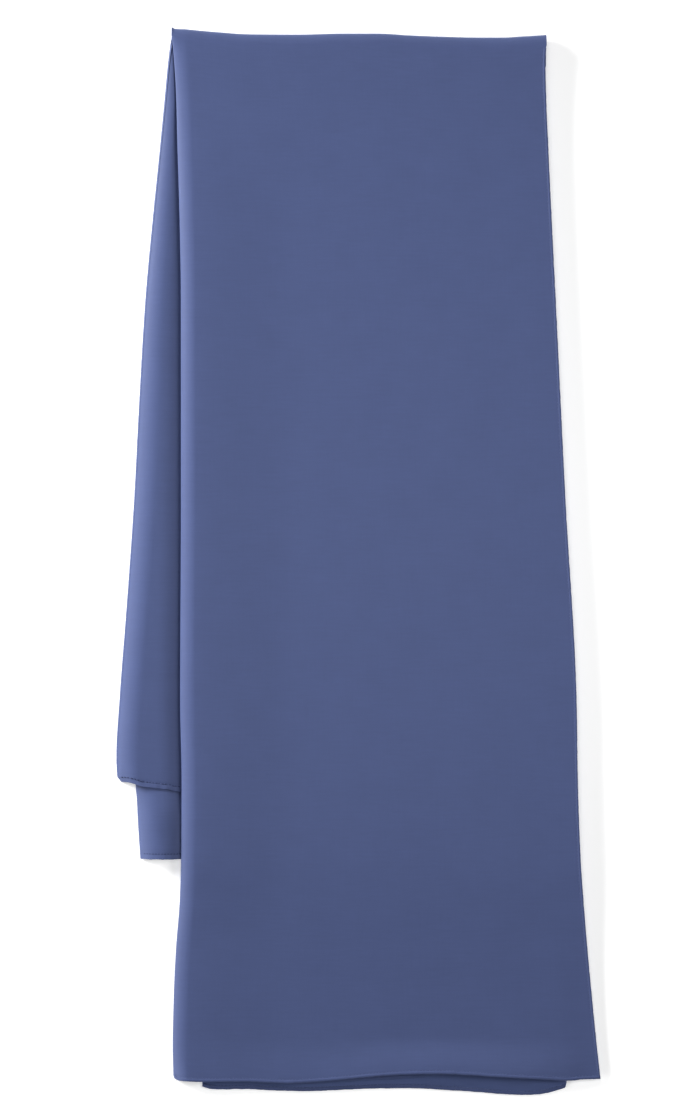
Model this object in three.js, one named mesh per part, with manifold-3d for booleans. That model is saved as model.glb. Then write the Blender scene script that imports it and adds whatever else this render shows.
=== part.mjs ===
// Evening stole: one hemmed rectangle of cloth, folded in three along its length and once across,
// lying flat with its longer fall on top. Sizes are millimetres, with +X to the right of the front
// fall, +Y towards the crosswise fold and +Z up from the surface that it lies on.
import * as THREE from 'three';
import { mergeVertices } from 'three/addons/utils/BufferGeometryUtils.js';
import Module from 'manifold-3d';

// Driving dimensions
const CLOTH = 1.0; // wall of one layer
const GAP = 0.3; // clearance between layers that touch
const LAYER = CLOTH + GAP + 0.05; // from the middle of one layer to the middle of the next
const RESTING = CLOTH / 2; // middle of a layer that lies on the surface
const FOLD_Y = 506.6; // nominal line of the crosswise fold
const FRONT_DROP = 1004.5; // crosswise fold to the front hem
const BACK_DROP = 791; // crosswise fold to the hem of the lower back layers
const UPPER_BACK_DROP = 719; // crosswise fold to the left corner of the upper back layer
const BEND_TOP = 13; // middle of the outer layer where it starts round the crosswise fold
const BEND_CENTRE = (BEND_TOP + CLOTH / 2) / 2; // height of the crosswise fold's axis, and its reach in Y
const TUCK = 30; // outer layer that turns under past the crosswise fold
const SEAM_X = -160; // cloth that turns under at the left reaches this far, to the hidden layers
const ROLL_BLEND = 46; // width over which the soft left fold flattens into the face
const NOSE_LEAD = 4; // the face starts down this far before the fold that it covers
const HEM = 4; // width of the rolled hem
const HEM_RAISE = 0.5; // extra height of the rolled hem
const UNDER_FOLD_START = 900; // where the lower layers of the front fall become their own piece
const HEM_LINE_REACH = 60; // length above the front hem over which its line takes effect
const FOLD_LINE_REACH = 120; // length below the crosswise fold over which its line fades
const HIDDEN_CLEARANCE = 0.6; // hidden layers below the face
const UNDER_SLACK = 0.25; // loose room between the face and the layer under it near the hem
const BEND_CLEARANCE = 0.9; // hidden layers inside the crosswise fold
const BACK_HEM_SLANT = 0.174; // fall of the upper back hem for each millimetre across
const BACK_HEM_REACH = 120; // length above the upper back hem over which it takes its slant
const LOWER_BACK_UNDER = 2.2; // middle of the folded-over lower back layer where it goes under
const HIDDEN_LOWER_TOP = 2.8; // top of the hidden lower back layers
const HIDDEN_UPPER_TOP = 4.3; // top of the hidden upper back layer
const LOWER_BACK_INSET = 10; // right fold of the lower back layers, inside that of the front fall
const UPPER_BACK_INSET = 5; // right fold of the upper back layer, inside that of the front fall
const JOIN = 0.3; // depth by which hidden bundles run into each other before they are joined

// Sections of the front fall, down from the crosswise fold: its soft left fold and free right edge,
// the height of the face, the radius and underside of the soft fold, the height of the free edge, and
// how far the face reaches past the fold beneath it
const FRONT = table('down left right field roll base edge overhang', [
  [0, -179.7, 180.7, BEND_TOP, 0.8, 11.4, BEND_TOP, 10],
  [7, -179.2, 180.2, BEND_TOP, 0.8, 11.4, BEND_TOP, 10],
  [26, -177.3, 178.8, 12.4, 1.8, 8.6, 8.5, 11],
  [64, -174.9, 179.7, 10.9, 2.9, 6.0, 4.5, 12],
  [112, -173.6, 181.8, 10.0, 3.4, 5.4, 2.8, 13],
  [160, -173.0, 184.0, 9.6, 3.6, 5.3, 2.0, 14],
  [256, -171.1, 188.8, 9.6, 3.6, 5.3, 1.4, 16],
  [448, -170.6, 198.2, 9.6, 3.6, 5.3, 0.8, 20],
  [639, -171.1, 208.8, 9.6, 3.6, 5.3, RESTING, 24],
  [716, -169.7, 210.0, 9.6, 3.6, 5.3, RESTING, 26],
  [793, -170.8, 212.8, 9.2, 3.4, 3.9, RESTING, 28],
  [831, -171.5, 215.5, 7.7, 3.0, 2.0, RESTING, 29],
  [879, -174.6, 219.5, 5.6, 2.3, RESTING, RESTING, 30],
  [927, -176.8, 224.1, 4.1, 1.9, RESTING, RESTING, 31],
  [975, -177.8, 228.9, 3.4, 1.6, RESTING, RESTING, 32],
  [FRONT_DROP, -177.8, 232.1, 3.5, 1.5, RESTING, RESTING, 32],
]);

// Sections of the back fall: the free left edge of its upper layer and that edge's height, the soft
// fold of the lower layers with its radius, and the height at which the upper layer goes under
const BACK = table('down edge edgeHeight fold radius inner', [
  [12, -179.0, 5.6, -179.2, 0.8, 5.8],
  [30, -182.0, 4.4, -179.2, 0.8, 4.8],
  [64, -185.5, 3.3, -181.0, 1.1, 4.3],
  [112, -190.6, 2.4, -184.4, 1.5, 4.0],
  [160, -195.7, 1.6, -187.4, 1.8, 3.85],
  [256, -204.6, 0.8, -194.1, 2.3, 3.85],
  [352, -210.4, RESTING, -198.9, 2.7, 3.85],
  [448, -215.4, RESTING, -202.7, 3.0, 3.85],
  [543, -222.0, RESTING, -206.6, 3.2, 3.85],
  [639, -229.3, RESTING, -211.4, 3.2, 3.85],
  [694, -232.4, RESTING, -213.8, 3.2, 3.85],
  [714, -231.6, RESTING, -214.2, 3.2, 3.85],
  [UPPER_BACK_DROP, -227.5, RESTING, -214.2, 3.2, 3.85],
  [755, -227.5, RESTING, -211.4, 3.1, 3.85],
  [BACK_DROP, -227.5, RESTING, -208.5, 3.0, 3.85],
]);

// The crosswise fold line: how far it stands above its nominal line across the stole
const TOP_LINE = table('across rise', [
  [-179.7, 5.8],
  [-174.9, 3.6],
  [-161.5, 2.8],
  [-136.6, 1.0],
  [-82, -1.0],
  [-13, 0],
  [47, -1.8],
  [116, -3.8],
  [155, -2.9],
  [180.7, -1.4],
]);

// The three hems of the front fall: how far each layer hangs below its nominal line
const HEM_LINE = table('across upper middle lower', [
  [-178, -5.5, 0, 6.7],
  [-172, 0, 0, 6.7],
  [-152, 0.3, 0, 6.7],
  [-146, 0.5, 0, 8.8],
  [-108, 0.9, 0.4, 9.2],
  [-68, 2.4, 1.6, 10.3],
  [-51, 1.5, 2.6, 10.2],
  [-19, -1.0, 1.0, 9.2],
  [15, -4.2, -1.0, 8.2],
  [59, -6.7, -2.9, 8.2],
  [80, -6.7, -5.6, 9.6],
  [116, -5.0, -6, 11.5],
  [136, -3.8, -6, 13.2],
  [163, -2.2, -6, 14.4],
  [186, -1.0, -6, 11.5],
  [200, 0, -6, 6],
  [232, -1.4, -6, 6],
]);

// Underside of the hidden layers of the front fall: inside the crosswise fold, on the back fall, and
// down to the surface past the back hem
const HIDDEN_UNDERSIDE = table('down height', [
  [0, 1.4],
  [45, 1.4],
  [60, 3.6],
  [716, 3.6],
  [793, 2.2],
  [845, 0],
  [UNDER_FOLD_START, 0],
]);

const FRONT_STATIONS = [14, 26, 44, 64, 88, 112, 160, 256, 352, 448, 543, 639, 716, 756, 793, 812,
  831, 855, 879, 903, 927, 951, 975, 990, FRONT_DROP - HEM, FRONT_DROP];
const UPPER_BACK_STATIONS = [12, 20, 30, 46, 64, 112, 160, 256, 352, 448, 543, 639, 680, 706,
  UPPER_BACK_DROP - HEM, UPPER_BACK_DROP];
const LOWER_BACK_STATIONS = [TUCK + 4 * GAP, 46, 64, 112, 160, 256, 352, 448, 543, 639, 700, 740,
  BACK_DROP - HEM, BACK_DROP];
const UNDER_FOLD_STATIONS = [UNDER_FOLD_START, 927, 951, 975, 990, FRONT_DROP - HEM, FRONT_DROP];
const HIDDEN_STATIONS = [14, 26, 44, 64, 88, 112, 160, 256, 352, 448, 543, 639, 716, 756, 793, 812,
  831, 855, 879, UNDER_FOLD_START - GAP];

const CREPE = { color: 0x596693, roughness: 0.62, metalness: 0 };
const CREPE_SHADED = { color: 0x515d88, roughness: 0.66, metalness: 0 };

const front = sampler(FRONT, 'down');
const back = sampler(BACK, 'down');
const topLine = sampler(TOP_LINE, 'across');
const hemLine = sampler(HEM_LINE, 'across');
const hiddenUnderside = sampler(HIDDEN_UNDERSIDE, 'down');

// Rows of numbers under a line of column names, as a list of named rows
function table(columns, rows) {
  const names = columns.split(' ');
  return rows.map((row) => Object.fromEntries(names.map((name, i) => [name, row[i]])));
}

// A smooth curve, without overshoot, through every column of a table
function sampler(rows, key) {
  const knots = rows.map((row) => row[key]);
  const names = Object.keys(rows[0]);
  return (at) => {
    const clamped = THREE.MathUtils.clamp(at, knots[0], knots[knots.length - 1]);
    const next = Math.max(1, knots.findIndex((knot) => knot >= clamped));
    return Object.fromEntries(names.map((name) => [name, between(rows, key, name, next - 1, clamped)]));
  };
}

function between(rows, key, name, i, at) {
  const span = rows[i + 1][key] - rows[i][key];
  const t = (at - rows[i][key]) / span;
  const start = slope(rows, key, name, i) * span;
  const end = slope(rows, key, name, i + 1) * span;
  const a = rows[i][name];
  const b = rows[i + 1][name];
  const t2 = t * t;
  const t3 = t2 * t;
  return a * (2 * t3 - 3 * t2 + 1) + b * (3 * t2 - 2 * t3) + start * (t3 - 2 * t2 + t) + end * (t3 - t2);
}

// Slope of a column at a row: none at a turning point, else the harmonic mean of both sides
function slope(rows, key, name, i) {
  const rise = (k) => (rows[k + 1][name] - rows[k][name]) / (rows[k + 1][key] - rows[k][key]);
  const before = rise(Math.max(i - 1, 0));
  const after = rise(Math.min(i, rows.length - 2));
  return before * after > 0 ? (2 * before * after) / (before + after) : 0;
}

function smooth(t) {
  return THREE.MathUtils.smoothstep(t, 0, 1);
}

function spread(from, to, count) {
  return Array.from({ length: count }, (_, i) => from + ((to - from) * i) / (count - 1));
}

// Middle of the front face across the stole: off the soft left fold, over the flat face and down past
// the covered fold to the free edge
function faceHeight(x, s) {
  const crest = s.base + 2 * s.roll;
  const face = crest + (s.field - crest) * smooth((x - rollCentre(s)) / ROLL_BLEND);
  const start = s.right - s.overhang - NOSE_LEAD;
  return face + (s.edge - face) * smooth((x - start) / (s.right - HEM - start));
}

function rollCentre(s) {
  return s.left + CLOTH / 2 + s.roll;
}

// Points round a soft left fold, from under it to its crest
function leftFold(centreX, base, radius) {
  return spread(1.5 * Math.PI, 0.5 * Math.PI, 7).map((angle) => ({
    x: centreX + radius * Math.cos(angle),
    z: base + radius + radius * Math.sin(angle),
  }));
}

// A layer of cloth on each side of its middle line, as matching outer and inner points
function wall(middle, raise = () => 0) {
  const outer = [];
  const inner = [];
  middle.forEach((point, i) => {
    const before = middle[Math.max(i - 1, 0)];
    const after = middle[Math.min(i + 1, middle.length - 1)];
    const length = Math.hypot(after.x - before.x, after.z - before.z);
    const normal = { x: (before.z - after.z) / length, z: (after.x - before.x) / length };
    const out = CLOTH / 2 + raise(point, i);
    outer.push({ ...point, x: point.x + normal.x * out, z: point.z + normal.z * out });
    const z = Math.max(0, point.z - normal.z * CLOTH / 2);
    inner.push({ ...point, x: point.x - normal.x * CLOTH / 2, z });
  });
  return { outer, inner };
}

// A section at a place down the stole, moved by the lines of its crosswise fold and its hem
function place(section, down, shift = () => 0) {
  const set = (point) => {
    const fold = topLine(point.x).rise * (1 - smooth((down - TUCK) / FOLD_LINE_REACH));
    return new THREE.Vector3(point.x, FOLD_Y - down + fold - shift(point), point.z);
  };
  return { outer: section.outer.map(set), inner: section.inner.map(set) };
}

// A section turned round the crosswise fold by an angle, then carried on under it
function placeRoundFold(section, angle, carry) {
  const set = (point) => {
    const reach = point.z - BEND_CENTRE;
    const y = FOLD_Y - BEND_CENTRE + reach * Math.sin(angle) - carry + topLine(point.x).rise;
    return new THREE.Vector3(point.x, y, BEND_CENTRE + reach * Math.cos(angle));
  };
  return { outer: section.outer.map(set), inner: section.inner.map(set) };
}

// One closed body through matching sections
function loft(sections) {
  const positions = [];
  const corner = (...points) => points.forEach((point) => positions.push(point.x, point.y, point.z));
  const quad = (a, b, c, d) => {
    corner(a, b, c);
    corner(a, c, d);
  };
  const rings = sections.map(({ outer, inner }) => [...outer, ...[...inner].reverse()]);
  for (let i = 0; i + 1 < rings.length; i += 1) {
    rings[i].forEach((point, k) => {
      const next = (k + 1) % rings[i].length;
      quad(point, rings[i][next], rings[i + 1][next], rings[i + 1][k]);
    });
  }
  const cap = ({ outer, inner }, flip) => {
    for (let k = 0; k + 1 < outer.length; k += 1) {
      if (flip) quad(outer[k], outer[k + 1], inner[k + 1], inner[k]);
      else quad(outer[k], inner[k], inner[k + 1], outer[k + 1]);
    }
  };
  cap(sections[0], false);
  cap(sections[sections.length - 1], true);
  return facingOut(positions);
}

// The same triangles with their vertices merged and their faces pointing out
function facingOut(positions) {
  const loose = new THREE.BufferGeometry();
  loose.setAttribute('position', new THREE.Float32BufferAttribute(positions, 3));
  const merged = mergeVertices(loose, 1e-4);
  const index = merged.getIndex();
  const at = (k) => new THREE.Vector3().fromBufferAttribute(merged.getAttribute('position'), index.getX(k));
  let volume = 0;
  for (let k = 0; k < index.count; k += 3) {
    volume += at(k).dot(at(k + 1).cross(at(k + 2)));
  }
  if (volume < 0) {
    for (let k = 0; k < index.count; k += 3) {
      const second = index.getX(k + 1);
      index.setX(k + 1, index.getX(k + 2));
      index.setX(k + 2, second);
    }
  }
  return merged;
}

function nearHem(down) {
  return smooth((down - FRONT_DROP + HEM_LINE_REACH) / HEM_LINE_REACH);
}

// Slant of the upper back hem, taken up over a length above it
function backSlant(down) {
  const share = smooth((down - UPPER_BACK_DROP + BACK_HEM_REACH) / BACK_HEM_REACH);
  return (point) => (point.x - BACK.at(-1).edge) * BACK_HEM_SLANT * share;
}

// Upper layer of the front fall: turned under at its soft left fold, free at its right edge, and
// carried over the crosswise fold to the surface
function frontFall() {
  const section = (down) => {
    const s = front(down);
    const centreX = rollCentre(s);
    const under = spread(SEAM_X, centreX, 4).slice(0, 3).map((x) => ({ x, z: s.base }));
    const round = leftFold(centreX, s.base, s.roll);
    const blend = spread(centreX, centreX + ROLL_BLEND, 6).slice(1);
    const start = s.right - s.overhang - NOSE_LEAD;
    const face = spread(centreX + ROLL_BLEND, start, 5).slice(1);
    const margin = spread(start, s.right - HEM - 1, 6).slice(1);
    const edge = [s.right - HEM, s.right];
    const across = [...blend, ...face, ...margin, ...edge];
    const over = across.map((x) => ({ x, z: faceHeight(x, s), top: true }));
    const middle = [...under, ...round, ...over];
    const hemmed = (point, i) => point.top && (down > FRONT_DROP - HEM || i > middle.length - 3);
    const raise = HEM_RAISE * smooth((down - BEND_CENTRE) / TUCK);
    return wall(middle, (point, i) => (hemmed(point, i) ? raise : 0));
  };
  const flat = section(BEND_CENTRE);
  const under = [TUCK - BEND_CENTRE, TUCK / 4].map((carry) => placeRoundFold(flat, Math.PI, carry));
  const round = spread(Math.PI, 0, 9).map((angle) => placeRoundFold(flat, angle, 0));
  const shift = (down) => (point) => hemLine(point.x).upper * nearHem(down);
  const fall = FRONT_STATIONS.map((down) => place(section(down), down, shift(down)));
  return loft([...under, ...round, ...fall]);
}

// Lower layers of the front fall near the hem: folded at the right, open at the left
function frontUnderFold() {
  const section = (down) => {
    const s = front(down);
    const nose = s.right - s.overhang;
    const lowEdge = HEM_LINE[2].across;
    const start = SEAM_X + 2 * GAP;
    const layerHeight = (x) => faceHeight(x, s) - LAYER - UNDER_SLACK;
    const radius = (layerHeight(nose - NOSE_LEAD) - RESTING) / 2;
    const turn = nose - CLOTH / 2 - radius;
    const rise = (x) => smooth((x - start) / (lowEdge - 1 - start));
    const upper = [...spread(start, lowEdge - 1, 5), ...spread(lowEdge - 1, turn, 9).slice(1)];
    const middle = upper.map((x) => ({ x, z: RESTING + (layerHeight(x) - RESTING) * rise(x), low: 0 }));
    const round = spread(0.5 * Math.PI, -0.5 * Math.PI, 6).slice(1, -1).map((angle) => ({
      x: turn + radius * Math.cos(angle),
      z: RESTING + radius + radius * Math.sin(angle),
      low: (1 - Math.sin(angle)) / 2,
    }));
    const lower = spread(turn, lowEdge, 9).map((x) => ({ x, z: RESTING, low: 1 }));
    return wall([...middle, ...round, ...lower]);
  };
  const shift = (down) => (point) => {
    const line = hemLine(point.x);
    return (line.middle + (line.lower - line.middle) * point.low) * nearHem(down);
  };
  return loft(UNDER_FOLD_STATIONS.map((down) => place(section(down), down, shift(down))));
}

// Where a back layer has come down from the soft fold to go under the front fall
function settledX(down, crestX) {
  return Math.max(crestX + 3, front(down).left - 2);
}

// Upper layer of the back fall: its free edge on the surface, over the soft fold and under the front
function backUpper() {
  const section = (down) => {
    const s = back(down);
    const crestX = s.fold + CLOTH / 2 + s.radius;
    const crest = Math.max(RESTING + 2 * s.radius + LAYER, s.inner);
    const settled = settledX(down, crestX);
    const rising = (x) => s.edgeHeight + (crest - s.edgeHeight) * smooth((x - s.edge) / (crestX - s.edge));
    const falling = (x) => crest + (s.inner - crest) * smooth((x - crestX) / (settled - crestX));
    const left = [s.edge, s.edge + HEM, ...spread(s.edge + HEM, crestX, 5).slice(1)];
    const middle = left.map((x) => ({ x, z: rising(x) }));
    spread(crestX, settled, 6).slice(1).forEach((x) => middle.push({ x, z: falling(x) }));
    spread(settled, SEAM_X, 3).slice(1).forEach((x) => middle.push({ x, z: s.inner }));
    const hemmed = (point, i) => point.x < settled - 1 && (down > UPPER_BACK_DROP - HEM || i < 2);
    return wall(middle, (point, i) => (hemmed(point, i) ? HEM_RAISE : 0));
  };
  return loft(UPPER_BACK_STATIONS.map((down) => place(section(down), down, backSlant(down))));
}

// Lower layers of the back fall: folded at the left, the lowest one flat on the surface
function backLower() {
  const section = (down) => {
    const s = back(down);
    const crestX = s.fold + CLOTH / 2 + s.radius;
    const crest = RESTING + 2 * s.radius;
    const inner = Math.min(crest, LOWER_BACK_UNDER);
    const settled = settledX(down, crestX);
    const falling = (x) => crest + (inner - crest) * smooth((x - crestX) / (settled - crestX));
    const middle = spread(SEAM_X, crestX, 5).slice(0, 4).map((x) => ({ x, z: RESTING }));
    middle.push(...leftFold(crestX, RESTING, s.radius));
    spread(crestX, settled, 6).slice(1).forEach((x) => middle.push({ x, z: falling(x), top: true }));
    spread(settled, SEAM_X, 3).slice(1).forEach((x) => middle.push({ x, z: inner }));
    const hemmed = down > BACK_DROP - HEM;
    return wall(middle, (point) => (hemmed && point.top ? HEM_RAISE : 0));
  };
  return loft(LOWER_BACK_STATIONS.map((down) => place(section(down), down)));
}

// A hidden bundle of layers from the seam to its round right fold, between two heights
function bundle(down, nose, top, bottom, shift) {
  const start = SEAM_X + GAP;
  const radius = (top(nose - NOSE_LEAD) - bottom) / 2;
  const turn = nose - radius;
  const outer = spread(start, turn, 12).map((x) => ({ x, z: top(x) }));
  const inner = outer.map(({ x }) => ({ x, z: bottom }));
  spread(0.4, 1.35, 5).forEach((angle) => {
    const x = turn + radius * Math.sin(angle);
    const half = radius * Math.cos(angle);
    outer.push({ x, z: Math.min(bottom + radius + half, top(x)) });
    inner.push({ x, z: bottom + radius - half });
  });
  return place({ outer, inner }, down, shift);
}

// Hidden layers as one body: those of the front fall, rounded inside the crosswise fold, on the
// upper and the lower ones of the back fall
function hiddenLayers(wasm) {
  const noseX = (down) => front(down).right - front(down).overhang;
  const top = (s) => (x) => faceHeight(x, s) - CLOTH / 2 - HIDDEN_CLEARANCE;
  const frontBundle = (down) => {
    const s = front(down);
    return bundle(down, noseX(down), top(s), hiddenUnderside(down).height);
  };
  const radius = BEND_CENTRE - CLOTH - BEND_CLEARANCE;
  const roundEnd = spread(1.4, 0.35, 4).map((angle) => {
    const down = BEND_CENTRE - radius * Math.sin(angle);
    const half = radius * Math.cos(angle);
    return bundle(down, noseX(0), () => BEND_CENTRE + half, BEND_CENTRE - half);
  });
  const frontBody = loft([...roundEnd, ...HIDDEN_STATIONS.map(frontBundle)]);
  const backStations = LOWER_BACK_STATIONS.slice(0, -2);
  const lowerBody = loft([...backStations, BACK_DROP].map((down) => (
    bundle(down, noseX(down) - LOWER_BACK_INSET, () => HIDDEN_LOWER_TOP, 0))));
  const upperStations = [...backStations.filter((down) => down < UPPER_BACK_DROP), UPPER_BACK_DROP];
  const upperBody = loft(upperStations.map((down) => {
    const nose = noseX(down) - UPPER_BACK_INSET;
    return bundle(down, nose, () => HIDDEN_UPPER_TOP, HIDDEN_LOWER_TOP - JOIN, backSlant(down));
  }));
  const joined = [frontBody, lowerBody, upperBody].map((body) => solid(wasm, body));
  return geometry(joined[0].add(joined[1]).add(joined[2]));
}

function solid(wasm, body) {
  const vertProperties = new Float32Array(body.getAttribute('position').array);
  const triVerts = new Uint32Array(body.getIndex().array);
  return new wasm.Manifold(new wasm.Mesh({ numProp: 3, vertProperties, triVerts }));
}

function geometry(joined) {
  const { vertProperties, triVerts } = joined.getMesh();
  const body = new THREE.BufferGeometry();
  body.setAttribute('position', new THREE.BufferAttribute(vertProperties, 3));
  body.setIndex(new THREE.BufferAttribute(triVerts, 1));
  return body;
}

function mesh(name, body, finish) {
  body.computeVertexNormals();
  const part = new THREE.Mesh(body, new THREE.MeshStandardMaterial(finish));
  part.name = name;
  return part;
}

const wasm = await Module();
wasm.setup();

const group = new THREE.Group();
group.add(mesh('front_fall', frontFall(), CREPE));
group.add(mesh('front_under_fold', frontUnderFold(), CREPE_SHADED));
group.add(mesh('back_fall_upper', backUpper(), CREPE));
group.add(mesh('back_fall_lower', backLower(), CREPE));
group.add(mesh('hidden_layers', hiddenLayers(wasm), CREPE_SHADED));

export default group;
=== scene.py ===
"""Evening stole: one hemmed rectangle of crepe, folded in three lengthwise and once across, lying flat."""

import math

import bpy
from mathutils import Matrix, Vector, noise


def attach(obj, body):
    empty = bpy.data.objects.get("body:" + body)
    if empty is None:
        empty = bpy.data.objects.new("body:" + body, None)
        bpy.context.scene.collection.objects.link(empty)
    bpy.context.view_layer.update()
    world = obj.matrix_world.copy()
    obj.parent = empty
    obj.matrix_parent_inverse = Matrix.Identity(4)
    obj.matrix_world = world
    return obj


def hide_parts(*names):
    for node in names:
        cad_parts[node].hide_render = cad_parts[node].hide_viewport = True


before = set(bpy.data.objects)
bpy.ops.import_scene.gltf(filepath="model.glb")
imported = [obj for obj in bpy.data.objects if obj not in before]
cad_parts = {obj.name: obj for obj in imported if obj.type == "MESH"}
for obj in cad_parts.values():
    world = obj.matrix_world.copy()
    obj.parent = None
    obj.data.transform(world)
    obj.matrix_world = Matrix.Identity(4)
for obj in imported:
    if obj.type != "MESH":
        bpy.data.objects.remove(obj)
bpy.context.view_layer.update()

# Sizes are in millimetres up to the point where a piece is placed, and the studio is in metres
MM = 0.001
CLOTH = 0.5
RESTING = CLOTH / 2
HEM = 4

# The crosswise fold: its place, its section, its height, its shoulder, the cloth tucked under it, and
# how far down the stole its line still shows
FOLD_Y = 506.6
BEND_SECTION = 7
BEND_TOP = 13
BEND_CENTRE = (BEND_TOP + CLOTH) / 2
BEND_SHOULDER = 11
TUCK = 30
TUCK_END = 2
FOLD_LINE_REACH = 120

# How far each fall reaches from the crosswise fold
FRONT_DROP = 1004.5
BACK_DROP = 792
UPPER_BACK_DROP = 719

# The soft left fold of the front fall, and how it runs into the face
SEAM_X = -160
SHOULDER = 14.5
SHOULDER_START = 0.85
SHOULDER_END = 1.9
NOSE_DEPTH = 2.2
NOSE_HEIGHT = 1.4
NOSE_SHARE = 0.5
NOSE_LEAD = 4
ROLL_BLEND = 95

# The slow waves of the face: where they start, how far in from its edges, and how long for their width
LOOSE_FROM = 20
LOOSE_REACH = 120
WAVE_INSET = 60
WAVE_STRETCH = 1.6

# How far above the hems the cloth follows their lines
HEM_LINE_REACH = 60
FLARE_REACH = 40
BACK_HEM_REACH = 120

# The two lower front layers: where they leave the back layers, their heights and their inner edges
ON_BACK_END = 860
ON_BACK_REACH = 120
LOWER_ON_BACK = 4.9
UNDER_GAP = 0.3
LAYER_GAP = 1.6
FIELD_MARGIN = 0.4
UNDER_INSET = 0.6
UNDER_BLEND = 6
LOWER_EDGE_X = -150

# The back layers: their shoulders, their drop under the front fall, and their folds inside it
BACK_LEAD = 5
BACK_SLOPE = 0.38
BACK_SHARE = 0.8
LOWER_SHARE = 0.75
BACK_SHOULDER_MAX = 21
LEVEL_DROP = 0.6
LEVEL_MAX = 1
PLUNGE_WIDTH = 22
LOWER_PLUNGE_WIDTH = 20
PLUNGE_BLEND = 20
PLUNGE_SHARE = 0.72
PLUNGE_POWER = 2.3
PLUNGE_MAX = 4.0
UNDER_ROLL = 10
BACK_MIDDLE = 2.2
UPPER_BACK_INSET = 5
LOWER_BACK_INSET = 10

# The back hems: the puckers that they draw up, and the groove along their stitches
PUCKER = 0.55
PUCKER_WIDTH = 5.5
PUCKER_LENGTH = 16
PUCKER_REACH = 7
PUCKER_CLEARANCE = 3
UPPER_PUCKER_SEED = 31.0
LOWER_PUCKER_SEED = 33.0
GROOVE = 0.3
GROOVE_INSET = 4.7
GROOVE_WIDTH = 1.4

# Points along each stretch of a section
NOSE_POINTS = 7
SHOULDER_STEPS = 21
SEAM_POINTS = 6
BLEND_POINTS = 16
FACE_POINTS = 38
EDGE_POINTS = 22
JOIN_POINTS = 7
UNDER_POINTS = 44
ARC_POINTS = 11
PLUNGE_POINTS = 30
INNER_POINTS = 16
TURN_POINTS = 9
GROUND_POINTS = 24

# Sections along the tuck and round the crosswise fold
TUCK_SECTIONS = 8
BEND_SECTIONS = 25
UNDER_BEND_SECTIONS = 13

# Where along a section or down a grid each shown or hemmed stretch starts or ends
FOLDED_UNDER = SEAM_POINTS + NOSE_POINTS - 2
FREE_START = TUCK_SECTIONS + BEND_SECTIONS
UPPER_SHOWN = 46
LOWER_FIRST = 8
LOWER_TOP = 62
GROUND_FIRST = 70
BACK_FREE_START = 3
HEM_STEPS = 3

# The photograph's frame, in its own pixels, and the size of one pixel on the stole
PHOTO_WIDTH = 692
PHOTO_HEIGHT = 1107
PIXEL = 0.9585
CENTRE_PIXEL = (358.5, 561.5)


def table(columns, *rows):
    """Rows of numbers under a line of column names, as one dictionary a row."""
    names = columns.split()
    return [dict(zip(names, row)) for row in rows]


def by_name(rows):
    """The rows of a table, each found by its name."""
    return {row["name"]: row for row in rows}


# Sections of the front fall, down from the crosswise fold
FRONT = table(
    "down left right field roll base edge overhang",
    (0, -179.7, 180.7, BEND_TOP, 0.8, 11.4, BEND_TOP, 10),
    (7, -179.2, 180.2, BEND_TOP, 0.8, 11.4, BEND_TOP, 10),
    (26, -177.3, 178.8, 12.5, 2.1, 8.6, 12.5, 11),
    (64, -174.9, 179.7, 11.1, 2.6, 6.0, 11.1, 12),
    (112, -173.6, 181.8, 10.2, 3.0, 5.4, 10.2, 13),
    (160, -172.1, 184.0, 9.9, 3.3, 5.3, 9.9, 14),
    (256, -170.4, 188.8, 9.8, 3.6, 5.3, 9.8, 16),
    (448, -170.3, 198.2, 9.8, 3.8, 5.3, 9.8, 20),
    (639, -171.1, 208.8, 9.8, 3.8, 5.3, 9.8, 24),
    (716, -169.7, 210.0, 9.7, 3.8, 5.3, 9.7, 26),
    (793, -170.3, 212.8, 9.3, 3.7, 4.8, 9.3, 28),
    (831, -171.5, 215.5, 8.2, 3.6, 2.6, 8.0, 29),
    (879, -175.3, 219.5, 6.3, 3.4, 0.5, 6.0, 30),
    (927, -177.5, 224.1, 5.1, 3.3, 0.5, 4.6, 31),
    (975, -178.4, 228.9, 4.5, 3.3, 0.5, 3.9, 32),
    (FRONT_DROP, -177.8, 232.1, 4.4, 3.3, 0.5, 3.6, 32),
)

# Sections of the back fall, down from the crosswise fold
BACK = table(
    "down edge edgeHeight crest fold radius inner",
    (7, -178.6, 4.4, 4.2, -179.2, 0.9, 3.4),
    (30, -182.0, 3.2, 4.4, -179.2, 0.9, 3.85),
    (64, -185.5, 2.2, 4.7, -181.0, 1.2, 3.85),
    (112, -190.6, 1.2, 5.1, -184.4, 1.5, 3.85),
    (160, -195.7, 0.8, 5.8, -187.4, 1.8, 3.85),
    (256, -204.6, 0.5, 7.2, -194.1, 2.4, 3.85),
    (352, -210.4, 0.5, 8.0, -198.9, 3.0, 3.85),
    (448, -215.4, 0.5, 8.6, -202.7, 3.2, 3.85),
    (543, -222.0, 0.5, 9.0, -206.6, 3.4, 3.85),
    (639, -229.3, 0.5, 9.2, -211.4, 3.5, 3.85),
    (694, -232.4, 0.5, 9.3, -213.8, 3.5, 3.85),
    (714, -231.6, 0.5, 9.3, -214.2, 3.5, 3.85),
    (UPPER_BACK_DROP, -228.2, 0.5, 9.3, -214.2, 3.5, 3.85),
    (735, -228.2, 0.5, 9.3, -212.9, 4.3, 3.85),
    (755, -228.2, 0.5, 9.3, -211.9, 5.0, 3.85),
    (BACK_DROP, -228.2, 0.5, 9.3, -209.5, 5.0, 3.85),
)

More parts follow.
